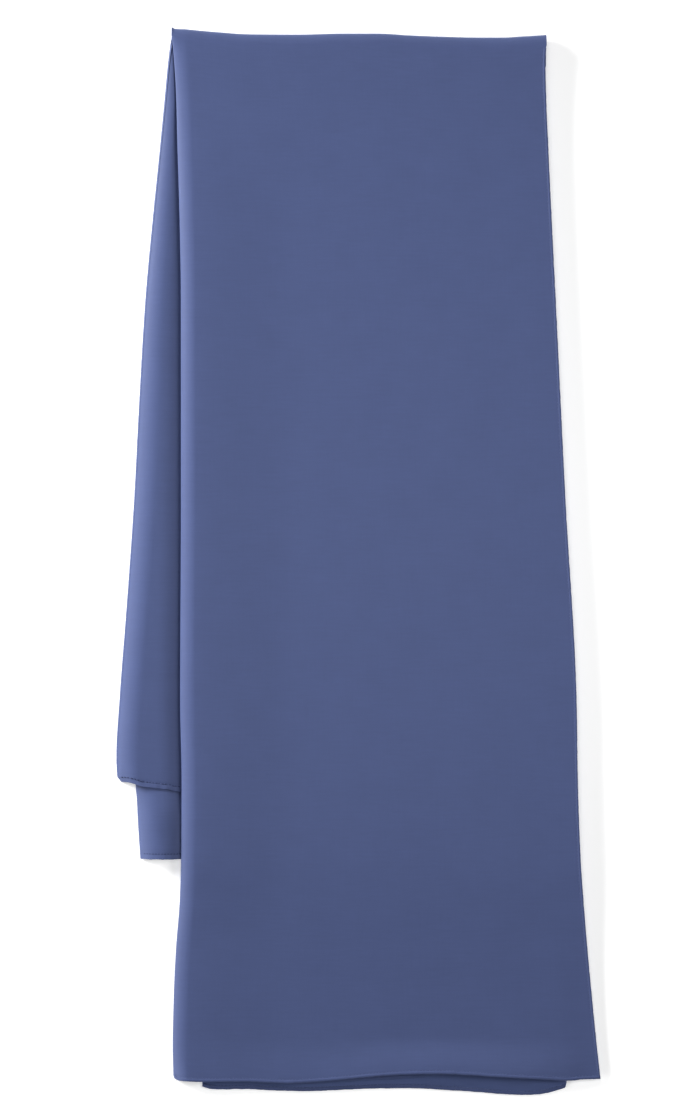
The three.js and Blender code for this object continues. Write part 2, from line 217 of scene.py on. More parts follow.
# The crosswise fold: how far it stands above its nominal line
TOP_LINE = table(
    "across rise",
    (-179.7, 8.0),
    (-176.5, 5.6),
    (-172.0, 4.7),
    (-161.5, 3.8),
    (-152.0, 2.8),
    (-136.6, 1.5),
    (-106.0, -0.6),
    (-60.0, -1.0),
    (-13.0, 0.0),
    (20.0, 0.0),
    (47.0, -1.6),
    (78.0, -2.9),
    (116.0, -3.8),
    (140.0, -3.8),
    (155.0, -2.9),
    (170.0, -2.0),
    (180.7, -1.2),
)

# The hem of the upper back layer: how far it hangs below its nominal line
BACK_HEM_LINE = table(
    "across drop",
    (-230.0, -1.0),
    (-224.3, -0.9),
    (-220.4, -0.7),
    (-216.6, 0.3),
    (-212.8, 1.4),
    (-209.0, 2.9),
    (-205.1, 3.5),
    (-201.3, 3.9),
    (-193.6, 4.8),
    (-186.0, 5.6),
    (-182.1, 6.0),
    (-178.3, 7.3),
    (-174.5, 7.8),
    (-170.6, 8.7),
    (-150.0, 11.0),
)

# The hems of the front fall: how far each hangs below its nominal line, and how far the upper one lifts
HEM_LINE = table(
    "across upper middle lower lift",
    (-178.0, -6.0, 0.0, 5.0, 0.0),
    (-176.5, -2.0, 0.0, 5.0, 0.0),
    (-172.0, 0.0, 0.0, 5.0, 0.9),
    (-152.0, 0.9, 0.0, 5.6, 0.9),
    (-146.0, 1.0, 0.0, 8.4, 0.9),
    (-134.0, 0.9, 0.2, 9.1, 1.1),
    (-108.0, 0.9, 0.6, 8.7, 1.4),
    (-88.0, 1.6, 1.2, 9.8, 1.9),
    (-68.0, 2.4, 2.0, 10.4, 2.2),
    (-51.0, 1.6, 2.9, 10.8, 2.0),
    (-19.0, -0.9, 1.2, 9.6, 2.9),
    (15.0, -4.2, -1.0, 8.2, 3.5),
    (47.0, -6.3, -2.4, 7.9, 4.0),
    (62.0, -6.7, -3.6, 8.2, 4.3),
    (80.0, -6.8, -5.6, 9.4, 4.4),
    (98.0, -6.1, -6.0, 10.4, 4.5),
    (116.0, -5.0, -6.0, 11.6, 4.5),
    (140.0, -3.4, -6.0, 13.6, 4.4),
    (163.0, -2.2, -6.0, 14.4, 3.9),
    (178.0, -1.3, -6.0, 13.2, 3.2),
    (190.0, -0.4, -6.0, 10.2, 2.3),
    (197.0, 0.0, -6.0, 8.0, 1.8),
    (204.0, -0.1, -6.0, 5.0, 1.3),
    (216.0, -1.0, -6.0, 5.0, 0.5),
    (232.0, -1.4, -6.0, 5.0, 0.0),
)

# The slow waves of the face
WAVES = table(
    "height size seed",
    (0.22, 70, 3.1),
    (0.10, 24, 8.7),
)

# Stretches down each layer, with the step between their sections
FRONT_STATIONS = table(
    "start end step",
    (13.5, 40, 2.5),
    (40, 170, 5),
    (170, 760, 10),
    (760, 930, 5),
    (930, 985, 3),
    (985, FRONT_DROP, 1.5),
)
UNDER_STATIONS = table(
    "start end step",
    (14, 40, 5),
    (40, 760, 20),
    (760, 930, 8),
    (930, 985, 5),
    (985, FRONT_DROP, 2),
)
UPPER_BACK_STATIONS = table(
    "start end step",
    (BEND_CENTRE, 40, 4),
    (40, 600, 12),
    (600, 700, 5),
    (700, UPPER_BACK_DROP, 1.5),
)
LOWER_BACK_STATIONS = table(
    "start end step",
    (BEND_CENTRE, 40, 4),
    (40, 680, 16),
    (680, 770, 5),
    (770, BACK_DROP, 1.5),
)


def slope(rows, key, name, i):
    """Slope of a column at a row: none at a turning point, else the harmonic mean of both sides."""
    def rise(k):
        return (rows[k + 1][name] - rows[k][name]) / (rows[k + 1][key] - rows[k][key])

    before = rise(max(i - 1, 0))
    after = rise(min(i, len(rows) - 2))
    return 2 * before * after / (before + after) if before * after > 0 else 0


def reader(rows, key):
    """A smooth curve, without overshoot, through every column of a table."""
    slopes = [{name: slope(rows, key, name, i) for name in rows[0]} for i in range(len(rows))]

    def read(at):
        at = min(max(at, rows[0][key]), rows[-1][key])
        i = max(k for k in range(len(rows) - 1) if rows[k][key] <= at)
        low, high = rows[i], rows[i + 1]
        span = high[key] - low[key]
        t = (at - low[key]) / span
        a, b = 2 * t**3 - 3 * t**2 + 1, 3 * t**2 - 2 * t**3
        c, d = (t**3 - 2 * t**2 + t) * span, (t**3 - t**2) * span
        return {n: a * low[n] + b * high[n] + c * slopes[i][n] + d * slopes[i + 1][n] for n in low}

    return read


front = reader(FRONT, "down")
back = reader(BACK, "down")
top_line = reader(TOP_LINE, "across")
hem_line = reader(HEM_LINE, "across")
back_hem_line = reader(BACK_HEM_LINE, "across")


def smooth(t):
    """A soft step from 0 to 1."""
    t = min(max(t, 0), 1)
    return t * t * (3 - 2 * t)


def spread(start, end, count):
    """Evenly spaced values, both ends included."""
    return [start + (end - start) * i / (count - 1) for i in range(count)]


def near_hem(down):
    """How much a place follows the hem lines of the front fall, from 0 to 1."""
    return smooth((down - FRONT_DROP + HEM_LINE_REACH) / HEM_LINE_REACH)


# Form of the cloth

def shoulder(t):
    """Rise of a soft fold from its edge, 0, to where its shoulder ends, 1: steep, steady, then level."""
    t = min(max(t, 0), 1)
    return (1 - (1 - t) ** SHOULDER_END) ** SHOULDER_START


SHOULDER_PLACES = [i * i / SHOULDER_STEPS**2 for i in range(SHOULDER_STEPS + 1)]


def turned(x, base, nose, crest, width):
    """Points round a soft fold that opens to the right: under, round the nose at x, up to the crest."""
    low = spread(-math.pi / 2, -math.pi, NOSE_POINTS)[:-1]
    under = [(x + NOSE_DEPTH * (1 + math.cos(a)), base + nose * (1 + math.sin(a))) for a in low]
    over = [(x + width * t, base + nose + (crest - base - nose) * shoulder(t)) for t in SHOULDER_PLACES]
    return under + over


def round_points(centre, base, radius, start, end, count):
    """Points on an arc of a circle whose lowest point has the height base."""
    angles = spread(start, end, count)
    return [(centre + radius * math.cos(a), base + radius + radius * math.sin(a)) for a in angles]


def nose_of(radius):
    """Height of the small nose at the edge of a soft fold."""
    return min(NOSE_HEIGHT, NOSE_SHARE * radius)


def ripple(x, down):
    """Slow, uneven rise and fall of loosely laid cloth."""
    rise = 0
    for wave in WAVES:
        size = wave["size"]
        place = Vector((x / size, down / (WAVE_STRETCH * size), wave["seed"]))
        rise += wave["height"] * noise.noise(place)
    return rise


def lifted(x, down):
    """How far the front hem lifts off the layers below it."""
    return smooth((down - FRONT_DROP + FLARE_REACH) / FLARE_REACH) * hem_line(x)["lift"]


def face_height(x, down, s):
    """Middle of the upper front layer: off the soft left fold, over the face and to the free edge."""
    start = s["left"] + CLOTH / 2
    low = s["base"] + nose_of(s["roll"])
    crest = s["base"] + 2 * s["roll"]
    if x < start + SHOULDER:
        face = low + (crest - low) * shoulder((x - start) / SHOULDER)
    else:
        face = crest + (s["field"] - crest) * smooth((x - start - SHOULDER) / ROLL_BLEND)
    flare = lifted(x, down)
    outside = s["right"] - s["overhang"] - NOSE_LEAD
    share = smooth((x - outside) / (s["right"] - HEM - outside))
    return (face + flare) * (1 - share) + (s["edge"] + flare) * share


def front_section(down):
    """The upper front layer across: turned under at the left, round the soft fold, over the face."""
    s = front(down)
    start = s["left"] + CLOTH / 2
    under = [(x, s["base"]) for x in spread(SEAM_X, start + NOSE_DEPTH, SEAM_POINTS)[:-1]]
    fold = turned(start, s["base"], nose_of(s["roll"]), s["base"] + 2 * s["roll"], SHOULDER)
    outside = s["right"] - s["overhang"] - NOSE_LEAD
    across = spread(start + SHOULDER, start + SHOULDER + ROLL_BLEND, BLEND_POINTS)[1:]
    across += spread(start + SHOULDER + ROLL_BLEND, outside, FACE_POINTS)[1:]
    across += spread(outside, s["right"], EDGE_POINTS)[1:]
    loose = smooth((down - LOOSE_FROM) / LOOSE_REACH)
    over = []
    for x in across:
        inside = smooth((s["right"] - x) / WAVE_INSET) * smooth((x - start) / WAVE_INSET)
        over.append((x, face_height(x, down, s) + ripple(x, down) * inside * loose))
    fold = [(x, z + lifted(x, down) * smooth((x - start) / SHOULDER)) for x, z in fold]
    return under + fold + over


def under_section(down):
    """The two lower front layers across, as place, height and share of the lower one, 0 to 1."""
    s = front(down)
    nose = s["right"] - s["overhang"]
    on_back = smooth((ON_BACK_END - down) / ON_BACK_REACH)
    ground = RESTING + UNDER_GAP
    lower = ground + (LOWER_ON_BACK - ground) * on_back
    face = face_height(nose - NOSE_LEAD, down, s)
    gap = min(LAYER_GAP, (face - lower) / 2)
    start = SEAM_X + UNDER_INSET
    blended = LOWER_EDGE_X + UNDER_BLEND

    def upper(x):
        target = min(face_height(x, down, s), s["field"] + FIELD_MARGIN) - gap
        return s["base"] + (target - s["base"]) * smooth((x - start) / (blended - start))

    radius = (upper(nose - NOSE_LEAD) - lower) / 2
    turn = nose - CLOTH / 2 - radius
    points = [(x, upper(x), 0) for x in spread(start, blended, JOIN_POINTS)]
    points += [(x, upper(x), 0) for x in spread(blended, turn, UNDER_POINTS)[1:]]
    for a in spread(math.pi / 2, -math.pi / 2, ARC_POINTS)[1:-1]:
        x, z = turn + radius * math.cos(a), lower + radius + radius * math.sin(a)
        points.append((x, z, (1 - math.sin(a)) / 2))
    points += [(x, lower, 1) for x in spread(turn, LOWER_EDGE_X, UNDER_POINTS)]
    return points


def towards_roll(x, crest_x, crest, inner, reach, down):
    """Height past the crest of a back layer: nearly level, then down under the roll of the front fall."""
    left = front(down)["left"]
    level = min(max((x - crest_x) / (left - crest_x), 0), 1)
    width = min(reach, left - crest_x)
    steep = max((x - left + width) / width, 0)
    drop = min(PLUNGE_SHARE * (crest - inner), PLUNGE_MAX) * steep**PLUNGE_POWER
    return max(crest - LEVEL_DROP * level**2 * min(crest - inner, LEVEL_MAX) - drop, inner)


def gathered(x, z, from_hem, seed):
    """How a narrow hem draws a raised layer in: puckers that die away, and a groove along its stitches."""
    uneven = noise.noise(Vector((x / PUCKER_WIDTH, from_hem / PUCKER_LENGTH, seed)))
    pucker = PUCKER * uneven * math.exp(-from_hem / PUCKER_REACH)
    groove = GROOVE * math.exp(-(((from_hem - GROOVE_INSET) / GROOVE_WIDTH) ** 2))
    return (pucker - groove) * smooth((z - CLOTH) / PUCKER_CLEARANCE)


def inside_nose(down):
    """Where the upper back layer turns, inside the right fold of the front layers."""
    s = front(down)
    return s["right"] - s["overhang"] - UPPER_BACK_INSET


def back_upper_section(down):
    """The upper back layer across: from its free edge over a soft shoulder and under the front fall."""
    s = back(down)
    left = front(down)["left"]
    edge, crest, inner = s["edge"], s["crest"], s["inner"]
    shown = left - edge
    width = min(BACK_LEAD + BACK_SLOPE * shown, BACK_SHARE * shown, BACK_SHOULDER_MAX)
    rise = crest - s["edgeHeight"]
    points = [(edge + width * t, s["edgeHeight"] + rise * shoulder(t)) for t in SHOULDER_PLACES]
    across = spread(edge + width, left + UNDER_ROLL, PLUNGE_POINTS)[1:]
    points += [(x, towards_roll(x, edge + width, crest, inner, PLUNGE_WIDTH, down)) for x in across]
    radius = (inner - BACK_MIDDLE) / 2
    nose = inside_nose(down) - radius
    points += [(x, inner) for x in spread(left + UNDER_ROLL, nose, INNER_POINTS)[1:]]
    points += round_points(nose, BACK_MIDDLE, radius, math.pi / 2, -math.pi / 2, TURN_POINTS)[1:]
    return points


def back_lower_section(down):
    """The lower back layers across: in under the front, round the left fold, along the surface."""
    s = back(down)
    left = front(down)["left"]
    start = s["fold"] + CLOTH / 2
    crest = RESTING + 2 * s["radius"]
    inner = min(crest, BACK_MIDDLE)
    width = min(BACK_SHOULDER_MAX, LOWER_SHARE * (left - start))
    radius = (s["inner"] - BACK_MIDDLE) / 2
    deep = spread(inside_nose(down) - radius, left + UNDER_ROLL, INNER_POINTS)[:-1]
    points = [(x, inner) for x in deep]
    below = smooth((down - UPPER_BACK_DROP) / PLUNGE_BLEND)
    reach = PLUNGE_WIDTH + (LOWER_PLUNGE_WIDTH - PLUNGE_WIDTH) * below
    for x in spread(left + UNDER_ROLL, start + width, PLUNGE_POINTS)[:-1]:
        points.append((x, towards_roll(x, start + width, crest, inner, reach, down)))
    points += turned(start, RESTING, nose_of(s["radius"]), crest, width)[::-1]
    ground = spread(start + NOSE_DEPTH, inside_nose(down) - LOWER_BACK_INSET, GROUND_POINTS)[1:]
    points += [(x, RESTING) for x in ground]
    return points


def laid(x, z, down, shift=0):
    """A point of a section in its place on the stole, in metres."""
    fold = top_line(x)["rise"] * (1 - smooth((down - TUCK) / FOLD_LINE_REACH))
    return Vector((x, FOLD_Y - down + fold - shift, z)) * MM


def round_the_fold(x, z, angle, carry):
    """A point of a section turned round the crosswise fold, then carried on under it, in metres."""
    reach = z - BEND_CENTRE
    long = BEND_SHOULDER / BEND_CENTRE if angle < math.pi / 2 else 1
    y = FOLD_Y - BEND_CENTRE + reach * (1 - long * (1 - math.sin(angle))) - carry + top_line(x)["rise"]
    return Vector((x, y, BEND_CENTRE + reach * math.cos(angle))) * MM


def back_slant(x, down):
    """How far a place on the upper back layer is drawn down towards its slanting hem."""
    share = smooth((down - UPPER_BACK_DROP + BACK_HEM_REACH) / BACK_HEM_REACH)
    return back_hem_line(x)["drop"] * share


def stations(stretches):
    """Places down the stole, in stretches that each have their own step."""
    places = []
    for row in stretches:
        count = max(2, round((row["end"] - row["start"]) / row["step"]) + 1)
        places += spread(row["start"], row["end"], count)[1 if places else 0:]
    return places


def front_fall_grid():
    """The upper front layer: from its tuck, round the crosswise fold and down to its hem."""
    flat = front_section(BEND_SECTION)
    tuck = spread(TUCK - BEND_CENTRE, TUCK_END, TUCK_SECTIONS)
    bend = spread(math.pi, 0, BEND_SECTIONS)
    grid = [[round_the_fold(x, z, math.pi, carry) for x, z in flat] for carry in tuck]
    grid += [[round_the_fold(x, z, angle, 0) for x, z in flat] for angle in bend]
    for down in stations(FRONT_STATIONS):
        shift = near_hem(down)
        grid.append([laid(x, z, down, hem_line(x)["upper"] * shift) for x, z in front_section(down)])
    return grid


def front_under_grid():
    """The two lower front layers: round the crosswise fold and down to their hems."""
    flat = under_section(BEND_SECTION)
    bend = spread(math.pi, 0, UNDER_BEND_SECTIONS)
    grid = [[round_the_fold(x, z, angle, 0) for x, z, _ in flat] for angle in bend]
    for down in stations(UNDER_STATIONS):
        row = []
        for x, z, low in under_section(down):
            line = hem_line(x)
            drop = line["middle"] + (line["lower"] - line["middle"]) * low
            row.append(laid(x, z, down, drop * near_hem(down)))
        grid.append(row)
    return grid


def back_upper_grid():
    """The upper back layer, down to its slanting hem and the puckers above it."""
    grid = []
    for down in stations(UPPER_BACK_STATIONS):
        row = []
        for x, z in back_upper_section(down):
            raised = z + gathered(x, z, UPPER_BACK_DROP - down, UPPER_PUCKER_SEED)
            row.append(laid(x, raised, down, back_slant(x, down)))
        grid.append(row)
    return grid


def back_lower_grid():
    """The lower back layers, down to their hem and the puckers above it."""
    grid = []
    for down in stations(LOWER_BACK_STATIONS):
        row = []
        for i, (x, z) in enumerate(back_lower_section(down)):
            raised = z + gathered(x, z, BACK_DROP - down, LOWER_PUCKER_SEED) if i < LOWER_TOP else z
            row.append(laid(x, raised, down))
        grid.append(row)
    return grid


# Modelling

CLOTH_CREASE = math.radians(50)
HEM_CREASE = math.radians(60)
WELD = 0.01 * MM


def nothing_selected():
    bpy.ops.object.select_all(action="DESELECT")


def only(piece):
    nothing_selected()
    piece.select_set(True)
    bpy.context.view_layer.objects.active = piece


def lengths(points):
    """How far along a line each of its points lies."""
    total = [0.0]
    for a, b in zip(points, points[1:]):
        total.append(total[-1] + (b - a).length)
    return total


def shaped_grid(name, grid):
    """A flat grid laid on its form, with its place on the cut, in metres, kept as its UV map."""
    rows, columns = len(grid), len(grid[0])
    nothing_selected()
    bpy.ops.mesh.primitive_grid_add(x_subdivisions=columns - 1, y_subdivisions=rows - 1, size=1)
    piece = bpy.context.object
    piece.name = piece.data.name = name
    across = lengths(grid[rows // 2])
    along = lengths([row[columns // 2] for row in grid])
    spots = []
    for vertex in piece.data.vertices:
        spot = round((vertex.co.x + 0.5) * (columns - 1)), round((vertex.co.y + 0.5) * (rows - 1))
        spots.append(spot)
        vertex.co = grid[spot[1]][spot[0]]
    uv = piece.data.uv_layers.active
    uv.name = "Cut"
    for loop in piece.data.loops:
        column, row = spots[loop.vertex_index]
        uv.data[loop.index].uv = across[column], along[row]
    return piece


def apply_modifier(piece, name):
    only(piece)
    bpy.ops.object.modifier_apply(modifier=name)


def cloth_sheet(name, grid, material):
    """A layer of cloth: a shell on the middle of its grid."""
    piece = shaped_grid(name, grid)
    only(piece)
    bpy.ops.object.mode_set(mode="EDIT")
    bpy.ops.mesh.select_all(action="SELECT")
    bpy.ops.mesh.normals_make_consistent(inside=False)
    bpy.ops.object.mode_set(mode="OBJECT")
    wall = piece.modifiers.new("Wall", "SOLIDIFY")
    wall.thickness = CLOTH * MM
    wall.offset = 0
    wall.use_even_offset = False
    apply_modifier(piece, "Wall")
    bpy.ops.object.shade_smooth_by_angle(angle=CLOTH_CREASE)
    piece.data.materials.append(material)
    return piece


# Finishes

THREADS_PER_METRE = 2600
NOISE_MIDDLE = 0.5
RIB_SHARE = 0.4
MOTTLE = 0.11
GRAIN = 0.03
ROUGHNESS_SHARE = 0.5
WEAVE_HEIGHT = 0.5
SLUB_HEIGHT = 1.2
RELIEF = 0.1 * MM
SHEEN_ROUGHNESS = 0.45
SHEEN_TINT = (0.55, 0.68, 1.0, 1)
SPECULAR_LEVEL = 0.2
SPECULAR_TINT = (0.95, 0.97, 1.0, 1)
FLOOR_COLOUR = (0.93, 0.93, 0.93, 1)
FLOOR_ROUGHNESS = 0.9
FLOOR_SPECULAR = 0.1
FLOOR_GLOW = 0.3
WHITE = (1, 1, 1, 1)

# The noises of the weave: how many to the metre across and along the cut, and how fine and rough
NOISES = by_name(table(
    "name across along detail roughness",
    ("slubs", 45, 420, 2, 0.6),
    ("ribs", 380, 30, 1, 0.5),
    ("clouds", 28, 40, 3, 0.6),
))

FINISHES = table(
    "name thread roughness slub sheen bump",
    ("CrepeFace", (0.0515, 0.0705, 0.167), 0.56, 0.15, 0.2, 0.25),
    # The two lower front layers are the face's cloth made lighter: painted light on the strip that lies in
    # the shade of the front hem
    ("CrepeUnder", (0.062, 0.087, 0.205), 0.58, 0.15, 0.2, 0.25),
    ("CrepeHem", (0.0515, 0.0705, 0.167), 0.56, 0.2, 0.22, 0.35),
    ("SewingThread", (0.08, 0.10, 0.21), 0.45, 0.05, 0.4, 0.1),
    # The back hems' stitches are real, but their thread is darker than the cloth: painted shade for the
    # crease along those hems
    ("SunkThread", (0.022, 0.032, 0.088), 0.6, 0.05, 0.15, 0.1),
)


def new_group(name, inputs, outputs):
    group = bpy.data.node_groups.new(name, "ShaderNodeTree")
    for label, kind, value in inputs:
        socket = group.interface.new_socket(label, in_out="INPUT", socket_type=kind)
        socket.default_value = value
    for label, kind in outputs:
        group.interface.new_socket(label, in_out="OUTPUT", socket_type=kind)
    return group, group.nodes.new("NodeGroupInput"), group.nodes.new("NodeGroupOutput")


def maths(tree, operation, a, b=None):
    """The output of a math node whose inputs are numbers or other nodes' outputs."""
    node = tree.nodes.new("ShaderNodeMath")
    node.operation = operation
    for socket, value in zip(node.inputs, (a, b)):
        if value is None:
            continue
        if isinstance(value, (int, float)):
            socket.default_value = value
        else:
            tree.links.new(value, socket)
    return node.outputs[0]


def stretched_noise(tree, vector, name):
    """Noise on the cut, with its own scale across and along."""
    row = NOISES[name]
    mapping = tree.nodes.new("ShaderNodeMapping")
    mapping.inputs["Scale"].default_value = (row["across"], row["along"], 1)
    tree.links.new(vector, mapping.inputs["Vector"])
    field = tree.nodes.new("ShaderNodeTexNoise")
    field.inputs["Scale"].default_value = 1
    field.inputs["Detail"].default_value = row["detail"]
    field.inputs["Roughness"].default_value = row["roughness"]
    tree.links.new(mapping.outputs[0], field.inputs["Vector"])
    return field.outputs["Fac"]


def weave_group():
    """Plain weave with faint slubs: a colour, a roughness and a height from the place on the cut."""
    group, given, made = new_group(
        "CrepeWeave",
        [
            ("Cut", "NodeSocketVector", (0, 0, 0)),
            ("Thread", "NodeSocketColor", (0.08, 0.1, 0.22, 1)),
            ("Slub", "NodeSocketFloat", 0.05),
            ("Roughness", "NodeSocketFloat", 0.5),
            ("Threads per Metre", "NodeSocketFloat", THREADS_PER_METRE),
        ],
        [("Color", "NodeSocketColor"), ("Roughness", "NodeSocketFloat"), ("Height", "NodeSocketFloat")],
    )
    links = group.links
    axes = group.nodes.new("ShaderNodeSeparateXYZ")
    links.new(given.outputs["Cut"], axes.inputs[0])
    turns = maths(group, "MULTIPLY", given.outputs["Threads per Metre"], math.pi)
    warp = maths(group, "SINE", maths(group, "MULTIPLY", axes.outputs["X"], turns))
    weft = maths(group, "SINE", maths(group, "MULTIPLY", axes.outputs["Y"], turns))
    weave = maths(group, "MULTIPLY", warp, weft)
    slubs = stretched_noise(group, given.outputs["Cut"], "slubs")
    ribs = stretched_noise(group, given.outputs["Cut"], "ribs")
    clouds = stretched_noise(group, given.outputs["Cut"], "clouds")
    rib_share = maths(group, "MULTIPLY", given.outputs["Slub"], RIB_SHARE)
    slub = maths(group, "MULTIPLY", maths(group, "SUBTRACT", slubs, NOISE_MIDDLE), given.outputs["Slub"])
    rib = maths(group, "MULTIPLY", maths(group, "SUBTRACT", ribs, NOISE_MIDDLE), rib_share)
    mottle = maths(group, "MULTIPLY", maths(group, "SUBTRACT", clouds, NOISE_MIDDLE), MOTTLE)
    grain = maths(group, "MULTIPLY", weave, GRAIN)
    shade = maths(group, "ADD", maths(group, "ADD", slub, rib), maths(group, "ADD", mottle, grain))
    value = maths(group, "ADD", shade, 1)
    tint = group.nodes.new("ShaderNodeVectorMath")
    tint.operation = "SCALE"
    links.new(given.outputs["Thread"], tint.inputs[0])
    links.new(value, tint.inputs["Scale"])
    links.new(tint.outputs[0], made.inputs["Color"])
    uneven = maths(group, "MULTIPLY", shade, ROUGHNESS_SHARE)
    links.new(maths(group, "ADD", given.outputs["Roughness"], uneven), made.inputs["Roughness"])
    raised = maths(group, "MULTIPLY", slubs, SLUB_HEIGHT)
    height = maths(group, "ADD", maths(group, "MULTIPLY", weave, WEAVE_HEIGHT), raised)
    links.new(height, made.inputs["Height"])
    return group


WEAVE = weave_group()


def crepe(name, thread, roughness, slub, sheen, bump):
    """A crepe finish with its own thread colour."""
    material = bpy.data.materials.new(name)
    material.use_nodes = True
    tree = material.node_tree
    shader = tree.nodes["Principled BSDF"]
    cut = tree.nodes.new("ShaderNodeUVMap")
    cut.uv_map = "Cut"
    weave = tree.nodes.new("ShaderNodeGroup")
    weave.node_tree = WEAVE
    weave.inputs["Thread"].default_value = (*thread, 1)
    weave.inputs["Slub"].default_value = slub
    weave.inputs["Roughness"].default_value = roughness
    relief = tree.nodes.new("ShaderNodeBump")
    relief.inputs["Strength"].default_value = bump
    relief.inputs["Distance"].default_value = RELIEF
    links = tree.links
    links.new(cut.outputs[0], weave.inputs["Cut"])
    links.new(weave.outputs["Color"], shader.inputs["Base Color"])
    links.new(weave.outputs["Roughness"], shader.inputs["Roughness"])
    links.new(weave.outputs["Height"], relief.inputs["Height"])
    links.new(relief.outputs[0], shader.inputs["Normal"])
    shader.inputs["Sheen Weight"].default_value = sheen
    shader.inputs["Sheen Roughness"].default_value = SHEEN_ROUGHNESS
    shader.inputs["Sheen Tint"].default_value = SHEEN_TINT
    shader.inputs["Specular IOR Level"].default_value = SPECULAR_LEVEL
    shader.inputs["Specular Tint"].default_value = SPECULAR_TINT
    return material


def floor_finish():
    """A pale, matt floor with a faint glow that softens the shadows on it."""
    material = bpy.data.materials.new("PaleFloor")
    material.use_nodes = True
    shader = material.node_tree.nodes["Principled BSDF"]
    shader.inputs["Base Color"].default_value = FLOOR_COLOUR
    shader.inputs["Roughness"].default_value = FLOOR_ROUGHNESS
    shader.inputs["Specular IOR Level"].default_value = FLOOR_SPECULAR
    shader.inputs["Emission Color"].default_value = WHITE
    shader.inputs["Emission Strength"].default_value = FLOOR_GLOW
    return material


face_finish, under_painted_light_finish, hem_finish, thread_finish, sunk_thread_painted_shade_finish = [crepe(**row) for row in FINISHES]


# Pieces of cloth

front_grid = front_fall_grid()
under_grid = front_under_grid()
upper_grid = back_upper_grid()
lower_grid = back_lower_grid()

front_fall = cloth_sheet("front_fall_cloth", front_grid, face_finish)
front_under = cloth_sheet("front_under_layers_cloth", under_grid, under_painted_light_finish)
back_upper = cloth_sheet("back_fall_upper_cloth", upper_grid, face_finish)
back_lower = cloth_sheet("back_fall_lower_cloth", lower_grid, face_finish)


# Hems and stitches

HEM_SIDES = 14
HEM_ENDS = 2.0
HEM_END_SHARE = 0.55
LEAST_LENGTH = 1e-9
EDGE_STEP = 1.0 * MM
UP = Vector((0, 0, 1))

HEMS = by_name(table(
    "name width thick lift seed",
    ("front_hem", 3.2, 1.1, 0.1, 11.0),
    ("front_free_edge_hem", 2.6, 0.9, 0.1, 12.0),
    ("under_low_hem", 3.6, 1.4, 0.3, 13.0),
    ("under_mid_hem", 3.2, 1.0, 0.0, 14.0),
    ("back_upper_hem", 4.4, 0.45, 0.0, 15.0),
    ("back_free_edge_hem", 2.4, 0.7, 0.05, 16.0),
    ("back_lower_hem", 4.6, 0.45, 0.0, 17.0),
    ("back_ground_hem", 4.0, 1.0, 0.3, 18.0),
))

# Unevenness of a rolled hem: its length along the hem and its share of the width and the thickness
SLOW_PULL = {"length": 7.0, "seed": 0.0, "width": 0.16, "thick": 0.20}
FINE_PULL = {"length": 2.3, "seed": 5.0, "width": 0.10, "thick": 0.30}

STITCHES = by_name(table(
    "name inset lift pitch length thread seed",
    ("front_hem_stitches", 3.3, 0.4, 3.2, 2.0, 0.35, 21.0),
    ("front_free_edge_stitches", 2.8, 0.35, 3.2, 2.0, 0.3, 22.0),
    ("under_low_stitches", 3.4, 0.6, 3.4, 2.2, 0.5, 23.0),
    # The back hems' stitches are thick so that their dark thread reads as the painted shade of the crease
    # along them
    ("back_upper_hem_stitches", 4.7, 0.1, 3.1, 3.0, 1.2, 25.0),
    ("back_lower_hem_stitches", 5.0, 0.1, 3.1, 3.0, 1.2, 27.0),
))
STITCH_BOW = 0.3
STITCH_SEGMENTS = 6
STITCH_RINGS = 5
WANDER = 0.25
WANDER_LENGTH = 9.0
WANDER_SEED = 1.0
OWN_STEP = 1.7
OWN_SEED = 2.0
OWN_LENGTH = 0.2
OWN_LEAN = 0.12
OWN_PITCH = 0.12


def along_path(points, step):
    """The same line with points an even step apart."""
    total = lengths(points)
    count = max(2, round(total[-1] / step) + 1)
    made, k = [], 0
    for at in spread(0, total[-1], count):
        while k < len(points) - 2 and total[k + 1] < at:
            k += 1
        share = (at - total[k]) / max(total[k + 1] - total[k], LEAST_LENGTH)
        made.append(points[k].lerp(points[k + 1], share))
    return made


class Edge:
    """An edge of a sheet: its line, the way into the cloth and the cloth's own normal, an even step apart."""

    def __init__(self, outer, inner):
        self.line = along_path(outer, EDGE_STEP)
        inside = along_path(inner, EDGE_STEP)
        count = len(self.line)
        self.inward, self.normal, self.along = [], [], []
        for i, point in enumerate(self.line):
            ahead = self.line[min(i + 1, count - 1)] - self.line[max(i - 1, 0)]
            j = round(i * (len(inside) - 1) / (count - 1))
            tangent = ahead.normalized()
            inward = inside[j] - point
            inward = (inward - tangent * inward.dot(tangent)).normalized()
            normal = tangent.cross(inward).normalized()
            if normal.dot(UP) < 0:
                normal = -normal
            self.along.append(tangent)
            self.inward.append(inward)
            self.normal.append(normal)


